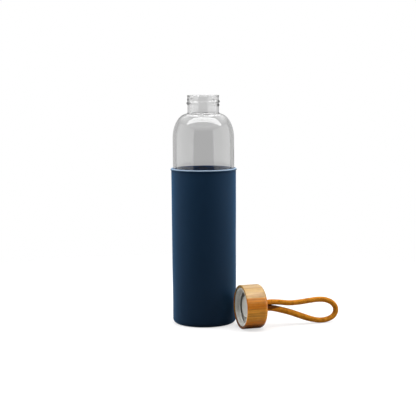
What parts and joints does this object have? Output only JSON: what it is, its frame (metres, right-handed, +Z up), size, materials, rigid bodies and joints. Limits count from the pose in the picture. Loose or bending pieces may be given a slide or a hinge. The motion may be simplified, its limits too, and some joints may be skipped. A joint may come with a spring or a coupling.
{
  "type": "glass water bottle",
  "caption": "Straight glass bottle in a silicone sleeve, with its bamboo screw cap and cord loop lying beside it.",
  "frame": {"origin": "on the table under the bottle's axis, at the centre of the sleeve's flat base", "axes": "+Z up along the bottle's axis, +X along the lying cap's axis from its mouth to its top, +Y away from the cap"},
  "size_m": [0.1635, 0.1005, 0.2331],
  "materials": {
    "navy_silicone": "matte moulded silicone",
    "clear_glass": "clear borosilicate glass",
    "bamboo": "oiled laminated bamboo",
    "white_plastic": "moulded polypropylene",
    "pale_silicone": "translucent silicone",
    "tan_cord": "smooth fine-woven round cord"
  },
  "bodies": {
    "sleeve": {"silicone_sleeve": "navy_silicone"},
    "bottle": {"glass_bottle": "clear_glass"},
    "cap": {"bamboo_cap": "bamboo", "threaded_insert": "white_plastic", "seal_ring": "pale_silicone"},
    "knot": {"cord_knot": "tan_cord"},
    "loop": {"cord_loop": "tan_cord"}
  },
  "joints": [
    {"name": "bottle_slide", "type": "slide", "parent": "sleeve", "child": "bottle", "axis": [0, 0, 1], "range_m": [0, 0.165]},
    {"name": "cap_lift", "type": "slide", "parent": "sleeve", "child": "cap", "axis": [0, 0, 1], "range_m": [0, 0.25]},
    {"name": "knot_turn", "type": "hinge", "parent": "cap", "child": "knot", "pos_m": [0.0458, -0.0447, 0.0221], "axis": [1, 0, 0], "continuous": true},
    {"name": "loop_swing", "type": "hinge", "parent": "knot", "child": "loop", "pos_m": [0.0538, -0.0447, 0.0221], "axis": [0, -1, 0], "range_deg": [0, 80], "deforming": ["cord_loop"]}
  ]
}
